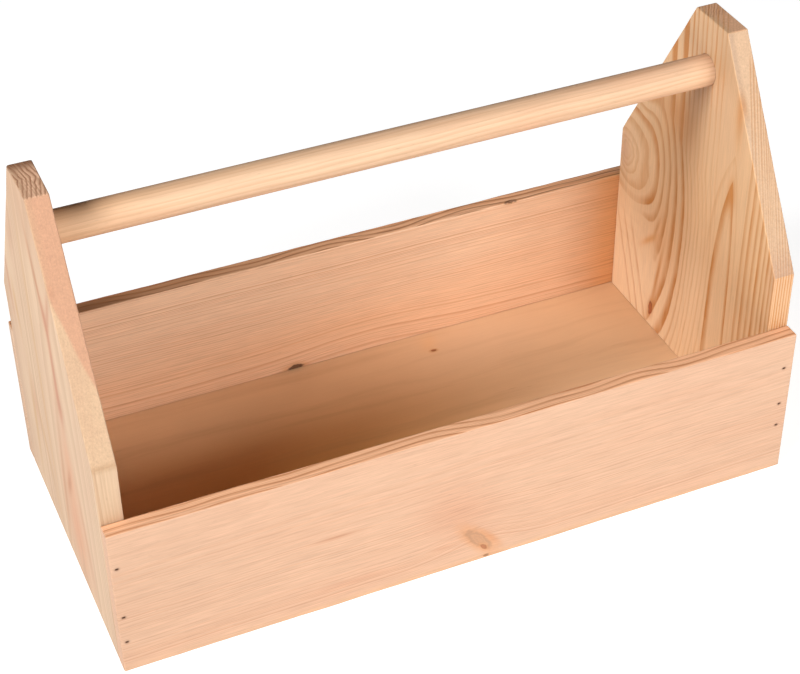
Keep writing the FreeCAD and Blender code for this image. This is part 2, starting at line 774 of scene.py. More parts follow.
@dataclass(frozen=True)
class EdgeLines(Figure):
    """A few rings that wander across a board's narrow edge (millimetres)."""

    spacing: float = 5.6
    wander: float = 24.0
    wander_length: float = 125.0
    start: float = 0.0
    darkness: float = 0.8
    taper: float = 0.012
    unevenness: float = 1.6

    def late(self, point: Point) -> Value:
        """The late wood of the wandering rings.

        Args:
            point: The shaded point.

        Returns:
            The darkness, from 0 to 1.
        """
        graph, along = point.graph, point.along
        drift = graph.noise_along(along / self.wander_length + self.start, 1.0) * self.wander
        years = (point.depth + drift + along * self.taper) / self.spacing
        uneven_place = graph.vector(along / 60.0, point.across / 8.0, point.depth / 3.0)
        uneven = graph.noise(uneven_place, 2.0, 0.5)
        late = years.late_part(0.45, 0.9, 0.92) * self.darkness
        return (late * (1.0 + uneven * self.unevenness)).within(0.0, 1.0)


@dataclass(frozen=True)
class EndRings(Figure):
    """The rings in a board's end grain, folded at one place across the board (millimetres)."""

    spacing: float
    slope: float
    fold: float
    darkness: float
    clear_below: float = -500.0
    wobble: float = 3.4
    unevenness: float = 1.2

    def late(self, point: Point) -> Value:
        """The late wood of the folded rings.

        Args:
            point: The shaded point.

        Returns:
            The darkness, from 0 to 1.
        """
        graph, across = point.graph, point.across
        wobble_place = graph.vector(across / 12.0, point.depth / 7.0, point.along / 400.0)
        wobble = graph.noise(wobble_place, 3.0, 0.6)
        folded = point.depth + abs(across - self.fold) * self.slope
        years = (folded + wobble * self.wobble) / self.spacing
        shown = (across + wobble * 12.0).rise(self.clear_below, self.clear_below + 6.0)
        late = years.late_part(0.30, 0.85, 0.88) * self.darkness * (shown * 0.8 + 0.2)
        return (late * (1.0 + wobble * self.unevenness)).within(0.0, 1.0)


@dataclass(frozen=True)
class Heartwood:
    """The redder wood on one side of a plane through the board (millimetres)."""

    across_slope: float
    place: float
    softness: float
    tone: Colour
    strength: float

    def paint(self, point: Point, colour: Any, uneven: Value) -> Any:
        """Paints the redder wood over the board's colour, a little below the better face.

        Args:
            point: The shaded point.
            colour: The board's colour.
            uneven: Noise, in millimetres, that makes the plane uneven.

        Returns:
            The new colour.
        """
        side = point.depth + point.across * self.across_slope + uneven
        redder = side.rise(self.place - self.softness, self.place + self.softness)
        share = redder * point.depth.rise(0.2, 2.2) * self.strength
        return point.graph.blend(share, colour, self.tone)


@dataclass(frozen=True)
class Pine:
    """Raw sanded softwood, its figure placed for one board (millimetres)."""

    name: str
    grain: Axis
    width: Axis
    thickness: Axis
    face: float
    figure: Figure
    early: Colour
    late: Colour
    contrast: float
    blush: Colour
    blush_share: float
    knots: tuple[Knot, ...] = ()
    tints: tuple[Tint, ...] = ()
    heartwood: Heartwood | None = None
    cut_tone: Colour = (0.42, 0.215, 0.12)
    cut_share: float = 0.2
    cut_late: Colour = (0.13, 0.045, 0.018)
    cut_gain: float = 1.0
    cut_figure: Figure | None = None
    edge_figure: Figure | None = None
    edge_tone: Colour = (0.8, 0.45, 0.25)
    edge_late: Colour = (0.40, 0.15, 0.055)
    slope_quiet: float = 0.0
    slope_shade: Colour = WHITE
    fibre: float = 1.0
    fibre_shade: float = 0.24
    streak_shade: float = 0.15
    pore_shade: float = 0.4
    fleck_shade: float = 0.10
    fibre_height: float = 0.05
    line_height: float = 0.02
    pore_height: float = 0.12
    knot_sink: float = 0.06
    roughness: float = 0.62
    specular: float = 0.3

    def material(self) -> bpy.types.Material:
        """Builds the material.

        Returns:
            The material, which reads Object coordinates.
        """
        graph = Graph(self.name)
        place = graph.position()
        depth = abs(place[self.thickness.value] - self.face)
        point = Point(graph, place[self.grain.value], place[self.width.value], depth)
        near = 1.0 - depth.rise(2.0, 7.0)
        upright = graph.facing(self.grain)
        sideways = graph.facing(self.width)
        cut = upright.rise(0.6, 0.95)
        edge = sideways.rise(0.6, 0.95)
        slope = sideways.rise(0.6, 0.8) * upright.rise(0.3, 0.45)

        late = self.figure.late(point)
        line = (late * self.contrast * (1.0 - slope * self.slope_quiet)).least(1.0)
        fibres = point.noise(30.0, 0.9, 3.0, 0.65)
        streaks = point.noise(150.0, 3.0, 3.0, 0.6)
        patches = point.noise(120.0, 34.0, 2.0, 0.5)
        pores = point.noise(1.5, 1.5, 2.0, 0.7)
        flecks = point.noise(7.0, 1.0, 1.0, 0.5)

        colour = graph.blend(patches.rise(-0.14, 0.2) * self.blush_share, self.early, self.blush)
        if self.heartwood is not None:
            colour = self.heartwood.paint(point, colour, patches * 4.0)
        if self.edge_figure is not None:
            colour = graph.blend(edge, colour, self.edge_tone)
        colour = graph.blend(cut * self.cut_share, colour, self.cut_tone)
        for tint in self.tints:
            colour = tint.paint(point, colour, near)
        if self.edge_figure is not None:
            colour = graph.blend(self.edge_figure.late(point) * edge, colour, self.edge_late)
        colour = graph.blend(line, colour, self.late)
        if self.cut_figure is not None:
            late = self.cut_figure.late(point)
        ring_cut = (late * self.cut_gain).within(0.0, 1.0) * cut
        colour = graph.blend(ring_cut, colour, self.cut_late)
        colour = graph.blend(slope, colour, graph.blend(1.0, colour, self.slope_shade, "MULTIPLY"))
        open_pores = (cut + slope * 0.8) * pores
        level = 1.0 + fibres * (self.fibre_shade * self.fibre) + streaks * self.streak_shade
        level = level + open_pores * self.pore_shade
        colour = graph.shaded(colour, level - flecks.rise(0.15, 0.32) * self.fleck_shade)

        knot_wobble = point.noise(6.0, 4.0, 2.0, 0.6)
        height = fibres * self.fibre_height + line * self.line_height
        height = height + open_pores * self.pore_height
        for knot in self.knots:
            distance = knot.distance(point, knot_wobble) + (1.0 - near) * 3.0
            colour = knot.paint(graph, colour, distance)
            height = height - (1.0 - distance.rise(0.8, 1.3)) * self.knot_sink
        graph.bump(height)
        roughness = self.roughness + fibres * 0.12 - line * 0.07 + cut * 0.12
        return graph.finish(colour, roughness, self.specular)


@dataclass(frozen=True)
class Plywood:
    """Smooth rotary-cut veneer with faint dashes, and layered edges (millimetres)."""

    name: str
    top: float
    bottom: float
    face: Colour
    dash: Colour
    core: Colour = (0.30, 0.15, 0.07)
    core_share: float = 0.75
    figure_share: float = 0.22
    dash_share: float = 0.55
    roughness: float = 0.58
    specular: float = 0.35
    pin_knots: tuple[Knot, ...] = ()
    tints: tuple[Tint, ...] = ()

    def material(self) -> bpy.types.Material:
        """Builds the material.

        Returns:
            The material, which reads Object coordinates.
        """
        graph = Graph(self.name)
        x, y, z = graph.position()
        point = Point(graph, x, y, z)
        flow = point.noise(150.0, 60.0, 2.0, 0.5) * 26.0
        figure = graph.noise(graph.vector(x / 210.0, (y + flow) / 11.0, z / 40.0), 3.0, 0.55)
        clouds = graph.noise(graph.vector(x / 95.0, y / 55.0, z / 60.0), 2.0, 0.5)
        fibres = point.noise(22.0, 0.6, 3.0, 0.6)
        dash_place = graph.vector(x / 20.0, (y + flow * 0.4) / 1.3, z / 30.0)
        dash_area = graph.noise(graph.vector(x / 60.0, y / 26.0, 3.7), 1.0, 0.5)
        dashes = graph.noise(dash_place, 1.0, 0.5).rise(0.20, 0.31) * dash_area.rise(0.02, 0.2)

        colour = self.face
        for tint in self.tints:
            colour = tint.paint(point, colour, z.rise(self.bottom, self.top))
        colour = graph.blend(figure.rise(-0.05, 0.3) * self.figure_share, colour, self.dash)
        colour = graph.blend(dashes * self.dash_share, colour, self.dash)
        colour = graph.shaded(colour, 1.0 + fibres * 0.10 + clouds * 0.18)

        height = (z - self.bottom) / (self.top - self.bottom)
        core = height.rise(0.30, 0.34) * (1.0 - height.rise(0.66, 0.70))
        layers = (1.0 - graph.facing(Axis.Z)).rise(0.4, 0.9) * core
        colour = graph.blend(layers * self.core_share, colour, self.core)

        wobble = graph.noise(graph.vector(x / 5.0, y / 3.0, 0.0), 2.0, 0.6)
        for knot in self.pin_knots:
            colour = knot.paint(graph, colour, knot.distance(point, wobble))
        graph.bump(fibres * 0.03 - dashes * 0.04)
        return graph.finish(colour, self.roughness + fibres * 0.1, self.specular)


@dataclass(frozen=True)
class BradSteel:
    """Dull dark steel with a brown bloom."""

    name: str = "brad_steel_dark"
    dark: Colour = (0.018, 0.013, 0.01)
    bloom: Colour = (0.03, 0.013, 0.006)

    def material(self) -> bpy.types.Material:
        """Builds the material.

        Returns:
            The material.
        """
        graph = Graph(self.name)
        x, y, z = graph.position()
        bloom = graph.noise(graph.vector(x / 0.4, y / 0.4, z / 0.4), 3.0, 0.6)
        colour = graph.blend(bloom.rise(-0.1, 0.25), self.dark, self.bloom)
        bare_metal = 0.3 - bloom.rise(0.0, 0.3) * 0.25
        graph.feed(graph.shader.inputs["Metallic"], bare_metal)
        graph.bump(bloom * 0.02)
        return graph.finish(colour, 0.5 + bloom * 0.2, 0.4)


# ---- Mesh work ---------------------------------------------------------------------------------


def corners(node: str) -> tuple[Vector, Vector]:
    """A node's lowest and highest corners at rest.

    Args:
        node: The CAD node's name.

    Returns:
        The two corners in metres.
    """
    low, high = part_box(node)
    return Vector(low), Vector(high)


def piece_from(name: str, mesh: Mesh) -> bpy.types.Object:
    """Makes a scene object of a bmesh and frees the bmesh.

    Args:
        name: The piece's name.
        mesh: The shape, in metres and in place.

    Returns:
        The object, at the origin.
    """
    bmesh.ops.recalc_face_normals(mesh, faces=mesh.faces)
    data = bpy.data.meshes.new(name)
    mesh.to_mesh(data)
    mesh.free()
    piece = bpy.data.objects.new(name, data)
    bpy.context.scene.collection.objects.link(piece)
    return piece


def block(low: Vector, high: Vector) -> Mesh:
    """A plain block between two corners.

    Args:
        low: The lowest corner.
        high: The highest corner.

    Returns:
        The block.
    """
    mesh = bmesh.new()
    bmesh.ops.create_cube(mesh, size=1.0)
    bmesh.ops.scale(mesh, vec=high - low, verts=mesh.verts)
    bmesh.ops.translate(mesh, vec=(low + high) / 2, verts=mesh.verts)
    return mesh


def prism(outline: Sequence[tuple[float, float]], low_x: float, high_x: float) -> Mesh:
    """A flat outline in Y and Z, thickened along X.

    Args:
        outline: The outline's corners, in order.
        low_x: Where the prism starts.
        high_x: Where the prism ends.

    Returns:
        The prism.
    """
    mesh = bmesh.new()
    rim = [mesh.verts.new((low_x, y, z)) for y, z in outline]
    face = mesh.faces.new(rim)
    grown = bmesh.ops.extrude_face_region(mesh, geom=[face])["geom"]
    moved = [item for item in grown if isinstance(item, bmesh.types.BMVert)]
    bmesh.ops.translate(mesh, vec=(high_x - low_x, 0.0, 0.0), verts=moved)
    return mesh


def ease_edges(
    mesh: Mesh, edges: Iterable[bmesh.types.BMEdge], radius: float, segments: int = 4
) -> None:
    """Rounds edges, as sanding does.

    Args:
        mesh: The shape.
        edges: The edges to round.
        radius: The width of the rounding.
        segments: The steps in each rounding.
    """
    bmesh.ops.bevel(
        mesh,
        geom=list(edges),
        offset=radius,
        affect="EDGES",
        segments=segments,
        profile=0.5,
        material=-1,
        clamp_overlap=True,
    )


def slice_along(mesh: Mesh, axis: Axis, step: float) -> None:
    """Cuts a shape into slices, so that it can be made a little uneven.

    Args:
        mesh: The shape.
        axis: The axis that the slices follow.
        step: The slices' thickness.
    """
    places = [vert.co[axis.value] for vert in mesh.verts]
    start, end = min(places), max(places)
    normal = Vector(1.0 if item is axis else 0.0 for item in Axis)
    count = int((end - start) / step)
    for number in range(1, count):
        place = normal * (start + (end - start) * number / count)
        geometry = list(mesh.verts) + list(mesh.edges) + list(mesh.faces)
        bmesh.ops.bisect_plane(
            mesh, geom=geometry, dist=SAME_PLACE, plane_co=place, plane_no=normal
        )


@dataclass(frozen=True)
class Unevenness:
    """Long waves with short ripples on them, in how far a surface has worn."""

    evenly: float
    wave_scale: float
    ripple_scale: float
    ripple_share: float
    wave_share: float = 0.6

    def at(self, place: Vector, seed: float) -> float:
        """How far a place has worn.

        Args:
            place: The place, in metres.
            seed: Moves the waves, so that pieces differ.

        Returns:
            The wear, from 0 to about 1.5.
        """
        wave = noise.noise(place * self.wave_scale + Vector((seed, 0.0, 0.0)))
        ripple = noise.noise(place * self.ripple_scale + Vector((0.0, seed, 0.0)))
        return max(0.0, self.evenly + self.wave_share * wave + self.ripple_share * ripple)


EDGE_SANDING = Unevenness(0.5, 22.0, 95.0, 0.35)
FACE_WEAR = Unevenness(0.45, 24.0, 110.0, 0.4)


def roughen(mesh: Mesh, low: Vector, high: Vector, depth: float, seed: float) -> None:
    """Pulls the edges of a board in unevenly, as hand sanding leaves them.

    Args:
        mesh: The shape.
        low: The board's lowest corner.
        high: The board's highest corner.
        depth: The most that an edge is pulled in.
        seed: Moves the unevenness, so that boards differ.
    """
    middle, half = (low + high) / 2, (high - low) / 2
    for vert in mesh.verts:
        offset = vert.co - middle
        gaps = [half[i] - abs(offset[i]) for i in range(3)]
        nearness = max(0.0, 1.0 - sum(sorted(gaps)[:2]) / SANDED_BAND)
        pull = depth * nearness * EDGE_SANDING.at(vert.co, seed)
        for i in range(3):
            if gaps[i] < SANDED_BAND:
                vert.co[i] -= math.copysign(pull, offset[i])


def wear(mesh: Mesh, depth: float, seed: float) -> None:
    """Sinks a shape's points a little, more in some places than in others.

    Args:
        mesh: The shape.
        depth: The most that a point sinks.
        seed: Moves the unevenness, so that pieces differ.
    """
    mesh.normal_update()
    sinks = [vert.normal * (depth * FACE_WEAR.at(vert.co, seed)) for vert in mesh.verts]
    for vert, sink in zip(mesh.verts, sinks):
        vert.co -= sink


def turn_about_y(mesh: Mesh, degrees: float) -> None:
    """Turns a shape about the Y axis."""
    turning = Matrix.Rotation(math.radians(degrees), 3, "Y")
    bmesh.ops.rotate(mesh, cent=(0.0, 0.0, 0.0), matrix=turning, verts=mesh.verts)


@dataclass(frozen=True)
class Chip:
    """A small uneven lump that carves a chip or a nick (metres, degrees)."""

    place: Place
    half_size: Place
    turn: float
    lumpiness: float = 0.35
    lump_scale: float = 1.7

    def lump(self, seed: float) -> Mesh:
        """The shape to carve with.

        Args:
            seed: Moves its unevenness.

        Returns:
            The lump.
        """
        mesh = bmesh.new()
        bmesh.ops.create_icosphere(mesh, subdivisions=3, radius=1.0)
        shift = Vector((seed, seed, 0.0))
        for vert in mesh.verts:
            vert.co *= 1.0 + self.lumpiness * noise.noise(vert.co * self.lump_scale + shift)
        bmesh.ops.scale(mesh, vec=self.half_size, verts=mesh.verts)
        turn_about_y(mesh, self.turn)
        bmesh.ops.translate(mesh, vec=self.place, verts=mesh.verts)
        return mesh


def rod(low: Vector, high: Vector, slack: float = 0.0, sides: int = 96) -> Mesh:
    """A round bar along X, in the middle of a box.

    Args:
        low: The box's lowest corner.
        high: The box's highest corner, as high above the low one as the bar is thick.
        slack: What is added to the radius.
        sides: The faces round it.

    Returns:
        The bar.
    """
    radius, length = (high.z - low.z) / 2 + slack, high.x - low.x
    mesh = bmesh.new()
    bmesh.ops.create_cone(
        mesh, cap_ends=True, segments=sides, radius1=radius, radius2=radius, depth=length
    )
    turn_about_y(mesh, 90.0)
    middle = ((low.x + high.x) / 2, 0.0, (low.z + high.z) / 2)
    bmesh.ops.translate(mesh, vec=middle, verts=mesh.verts)
    return mesh


def bottom_groove(end_gap: float, side_gap: float) -> Mesh:
    """The groove that holds the bottom, as a block to carve with.

    Args:
        end_gap: The gap past the bottom's two ends.
        side_gap: The gap past its two sides.

    Returns:
        The block.
    """
    low, high = corners("bottom_panel")
    slack = Vector((end_gap, side_gap, GROOVE_SLACK))
    return block(low - slack, high + slack)


def carve(piece: bpy.types.Object, tools: Iterable[Mesh]) -> None:
    """Cuts shapes out of a piece for good.

    Args:
        piece: The piece.
        tools: The shapes to cut out of it.
    """
    blades = [piece_from(f"blade_{number}", tool) for number, tool in enumerate(tools)]
    for blade in blades:
        cut = piece.modifiers.new("cut", "BOOLEAN")
        cut.operation = "DIFFERENCE"
        cut.solver = "EXACT"
        cut.object = blade
    graph = bpy.context.evaluated_depsgraph_get()
    carved = bpy.data.meshes.new_from_object(piece.evaluated_get(graph))
    carved.name = piece.name
    piece.modifiers.clear()
    piece.data = carved
    for blade in blades:
        bpy.data.objects.remove(blade)


def shade(piece: bpy.types.Object, angle: float) -> None:
    """Shades a piece smooth, but sharp over edges steeper than an angle.

    Args:
        piece: The piece.
        angle: The angle in degrees.
    """
    data = piece.data
    data.polygons.foreach_set("use_smooth", [True] * len(data.polygons))
    data.set_sharp_from_angle(angle=math.radians(angle))
    evened = piece.modifiers.new("even_normals", "WEIGHTED_NORMAL")
    evened.keep_sharp = True


def dress(piece: bpy.types.Object, material: bpy.types.Material, slot: str, *nodes: str) -> None:
    """Gives a piece its material, and its place in the frame.

    Args:
        piece: The piece.
        material: Its material.
        slot: The record's material slot; not used.
        nodes: The CAD nodes that it stands for.
    """
    piece.data.materials.clear()
    piece.data.materials.append(material)
    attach(piece, "root")
    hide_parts(*nodes)
    LOG.info("%s: %d faces", piece.name, len(piece.data.polygons))


# ---- Sub-assemblies ----------------------------------------------------------------------------


@dataclass
class Brads:
    """The brads of one corner, kept as the CAD nodes (metres)."""

    node: str
    slack: float = 0.05 * MM
    dent_depth: float = 1.65 * MM
    least_step: float = 5 * MM

    def heights(self) -> list[float]:
        """The height of each brad, from the CAD node's own points.

        Returns:
            The heights, lowest first.
        """
        levels = sorted(vert.co.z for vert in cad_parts[self.node].data.vertices)
        groups = [[levels[0]]]
        for level in levels[1:]:
            if level - groups[-1][-1] > self.least_step:
                groups.append([])
            groups[-1].append(level)
        return [(group[0] + group[-1]) / 2 for group in groups]

    def dents(self, face: float, inward: float) -> list[Mesh]:
        """The dents that the heads leave in a side board.

        Args:
            face: The Y of the board's outer face.
            inward: 1 where the brads are driven along +Y, or -1.

        Returns:
            One block for each brad, to carve with.
        """
        low, high = corners(self.node)
        levels = self.heights()
        half_height = (high.z - low.z - (levels[-1] - levels[0])) / 2
        tools = []
        for level in levels:
            ends = sorted((face - inward * MM, face + inward * self.dent_depth))
            start = Vector((low.x - self.slack, ends[0], level - half_height - self.slack))
            end = Vector((high.x + self.slack, ends[1], level + half_height + self.slack))
            tools.append(block(start, end))
        return tools

    def dress(self, steel: bpy.types.Material) -> None:
        """Gives the CAD node the steel.

        Args:
            steel: The material.
        """
        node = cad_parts[self.node]
        node.data.materials.clear()
        node.data.materials.append(steel)
        LOG.info("%s: %d brads", self.node, len(self.heights()))


@dataclass(kw_only=True)
class WoodenPart(ABC):
    """A wooden part that stands for one CAD node (metres, degrees).

    A part without a name of its own is called its node's board.
    """

    node: str
    name: str = ""
    slot: str
    wood: Pine | Plywood
    ease: float
    sharp_angle: float = 30.0
    gap: float = 0.25 * MM

    @abstractmethod
    def blank(self) -> Mesh:
        """The part's shape before its joints are cut."""

    def cuts(self) -> list[Mesh]:
        """The shapes to cut out of the blank: none, unless the part has joints."""
        return []

    def build(self) -> bpy.types.Object:
        """Builds and dresses the part.

        Returns:
            The piece.
        """
        piece = piece_from(self.name or f"{self.node}_board", self.blank())
        tools = self.cuts()
        if tools:
            carve(piece, tools)
        shade(piece, self.sharp_angle)
        dress(piece, self.wood.material(), self.slot, self.node)
        return piece


@dataclass(kw_only=True)
class EndPanel(WoodenPart):
    """A six-sided end panel, with the handle's blind hole and the bottom's groove."""

    seed: float
    slot: str = "pine_end_panel"
    ease: float = 1.3 * MM
    knee_height: float = 183 * MM
    top_width: float = 46 * MM
    slice_step: float = 6 * MM
    wear_depth: float = 0.35 * MM

    def blank(self) -> Mesh:
        """The panel's outline, thickened and sanded.

        Returns:
            The blank.
        """
        low, high = corners(self.node)
        half_top = self.top_width / 2
        outline = [
            (low.y, low.z),
            (high.y, low.z),
            (high.y, self.knee_height),
            (half_top, high.z),
            (-half_top, high.z),
            (low.y, self.knee_height),
        ]
        mesh = prism(outline, low.x, high.x)
        ease_edges(mesh, mesh.edges, self.ease)
        slice_along(mesh, Axis.Z, self.slice_step)
        wear(mesh, self.wear_depth, self.seed)
        return mesh

    def cuts(self) -> list[Mesh]:
        """The handle's hole and the bottom's groove, as shapes to cut out."""
        return [rod(*corners("handle_dowel"), self.gap), bottom_groove(0.0, self.gap)]


@dataclass(kw_only=True)
class SideBoard(WoodenPart):
    """A side board with its stopped groove, dents and chips."""

    brads: tuple[Brads, ...]
    inward: float
    seed: float
    chips: tuple[Chip, ...] = ()
    slot: str = "pine_side_board"
    ease: float = 1.2 * MM
    slice_step: float = 6 * MM
    sanding_depth: float = 0.45 * MM

    def blank(self) -> Mesh:
        """The board, sanded a little unevenly.

        Returns:
            The blank.
        """
        low, high = corners(self.node)
        mesh = block(low, high)
        ease_edges(mesh, mesh.edges, self.ease)
        slice_along(mesh, Axis.X, self.slice_step)
        roughen(mesh, low, high, self.sanding_depth, self.seed)
        return mesh

    def cuts(self) -> list[Mesh]:
        """The groove, the brads' dents and the chips, as shapes to cut out.

        Returns:
            The shapes.
        """
        low, high = corners(self.node)
        face = low.y if self.inward > 0 else high.y
        tools = [bottom_groove(self.gap, self.gap)]
        for group in self.brads:
            tools += group.dents(face, self.inward)
        for number, chip in enumerate(self.chips):
            tools.append(chip.lump(self.seed + number))
        return tools


@dataclass(kw_only=True)
class BottomPanel(WoodenPart):
    """The plywood bottom in its grooves."""

    node: str = "bottom_panel"
    name: str = "bottom_plywood"
    slot: str = "plywood"
    ease: float = 0.3 * MM

    def blank(self) -> Mesh:
        """The panel, its edges just broken.

        Returns:
            The blank.
        """
        mesh = block(*corners(self.node))
        ease_edges(mesh, mesh.edges, self.ease, 2)
        return mesh


@dataclass(kw_only=True)
class Handle(WoodenPart):
    """The round handle between the end panels."""

    node: str = "handle_dowel"
    name: str = "handle_round"
    slot: str = "pine_dowel"
    ease: float = 0.8 * MM
    sharp_angle: float = 40.0
    slice_step: float = 12 * MM

    def blank(self) -> Mesh:
        """The dowel, its two rims broken.

        Returns:
            The blank.
        """
        mesh = rod(*corners(self.node))
        rims = [edge for edge in mesh.edges if abs(edge.verts[0].co.x - edge.verts[1].co.x) < MM]
        ease_edges(mesh, rims, self.ease, 2)
        slice_along(mesh, Axis.X, self.slice_step)
        return mesh


# ---- Studio ------------------------------------------------------------------------------------


@dataclass(frozen=True)
class Softbox:
    """A square soft light aimed at the toolbox (degrees, metres, watts)."""

    name: str
    azimuth: float
    elevation: float
    distance: float
    size: float
    power: float

    def build(self, target: Vector) -> None:
        """Adds the light.

        Args:
            target: The point that it is aimed at.
        """
        light = bpy.data.lights.new(self.name, "AREA")
        light.shape = "SQUARE"
        light.size = self.size
        light.energy = self.power
        lamp = bpy.data.objects.new(self.name, light)
        lamp.matrix_world = looking_from(target, self.azimuth, self.elevation, self.distance, 0.0)
        bpy.context.scene.collection.objects.link(lamp)


def looking_from(
    target: Vector, azimuth: float, elevation: float, distance: float, roll: float
) -> Matrix:
    """A camera's or light's place and turn, looking at a target.

    Args:
        target: The point looked at.
        azimuth: The angle round Z in degrees, where 0 looks along +Y.
        elevation: The angle above the horizon, in degrees.
        distance: How far from the target it stands.
        roll: Its turn about its own line of sight, in degrees.

    Returns:
        The matrix.
    """
    around, above = math.radians(azimuth), math.radians(elevation)
    level = math.cos(above)
    back = Vector((math.sin(around) * level, -math.cos(around) * level, math.sin(above)))
    right = Vector((0.0, 0.0, 1.0)).cross(back).normalized()
    up = back.cross(right)
    turning = Matrix((right, up, back)).transposed() @ Matrix.Rotation(math.radians(roll), 3, "Z")
    return Matrix.Translation(target + back * distance) @ turning.to_4x4()


@dataclass
class Studio:
    """The floor, lights, world and camera (metres, degrees)."""

    target: Place = (0.0006, 0.0, 0.1253)
    azimuth: float = -22.86
    elevation: float = 37.91
    distance: float = 1.5076
    roll: float = -0.84
    lens: float = 86.47
    sensor: float = 36.0
    clip_end: float = 50.0
    floor_size: float = 60.0
    floor_tone: Colour = (0.5, 0.5, 0.5)
    floor_glow: float = 0.76
    air_glow: float = 0.02
    air_tone: float = 0.78
    softboxes: tuple[Softbox, ...] = (
        Softbox("left_high", -80.0, 39.0, 2.5, 0.62, 36.0),
        Softbox("left_front", -60.0, 35.0, 2.5, 0.8, 18.5),
        Softbox("front_right", 12.0, 27.5, 2.5, 0.6, 26.5),
        Softbox("right_front", 25.0, 25.0, 2.5, 0.8, 18.5),
    )

    def floor(self) -> None:
        """Adds the pale floor."""
        mesh = bmesh.new()
        bmesh.ops.create_grid(mesh, x_segments=1, y_segments=1, size=self.floor_size / 2)
        piece = piece_from("studio_floor", mesh)
        graph = Graph("studio_paper")
        graph.feed(graph.shader.inputs["Emission Color"], WHITE)
        graph.feed(graph.shader.inputs["Emission Strength"], self.floor_glow)
        piece.data.materials.append(graph.finish(self.floor_tone, 0.9, 0.1))

    def world(self) -> None:
        """Adds the pale surroundings, which the camera sees brighter than they shine."""
        scene = bpy.context.scene
        scene.world = bpy.data.worlds.new("studio_air")
        scene.world.use_nodes = True
        background = scene.world.node_tree.nodes["Background"]
        background.inputs["Color"].default_value = (*WHITE, 1.0)
        tree = scene.world.node_tree
        ray = tree.nodes.new("ShaderNodeLightPath")
        glow = tree.nodes.new("ShaderNodeMath")
        glow.operation = "MULTIPLY_ADD"
        glow.inputs[1].default_value = self.air_tone - self.air_glow
        glow.inputs[2].default_value = self.air_glow
        tree.links.new(ray.outputs["Is Camera Ray"], glow.inputs[0])
        tree.links.new(glow.outputs[0], background.inputs["Strength"])
        scene.view_settings.view_transform = "Standard"

    def camera(self) -> None:
        """Adds the camera."""
        lens = bpy.data.cameras.new("camera")
        lens.sensor_fit = "HORIZONTAL"
        lens.sensor_width = self.sensor
        lens.lens = self.lens
        lens.clip_end = self.clip_end
        camera = bpy.data.objects.new("camera", lens)
        camera.matrix_world = looking_from(
            Vector(self.target), self.azimuth, self.elevation, self.distance, self.roll
        )
        bpy.context.scene.collection.objects.link(camera)
        bpy.context.scene.camera = camera

    def build(self) -> None:
        """Builds the whole studio."""
        self.camera()
        self.floor()
        self.world()
        for softbox in self.softboxes:
            softbox.build(Vector(self.target))


# ---- The boards' wood, and the light and shade painted on it -----------------------------------


def dent_shading(groups: Iterable[Brads]) -> tuple[Tint, ...]:
    """Painted shade: a dark patch over each brad's dent, where the dent lies in shade.

    Args:
        groups: The brads of one side board.

    Returns:
        One patch for each brad.
    """
    patches = []
    # Painted shade: dark brown, for the shade inside each dent.
    tone = (0.07, 0.03, 0.015)
    for group in groups:
        low, high = corners(group.node)
        middle = (low.x + high.x) / 2 / MM
        for height in group.heights():
            patches.append(Tint(middle, height / MM, 1.6, 1.3, 0.0, tone, 0.95))
    return tuple(patches)


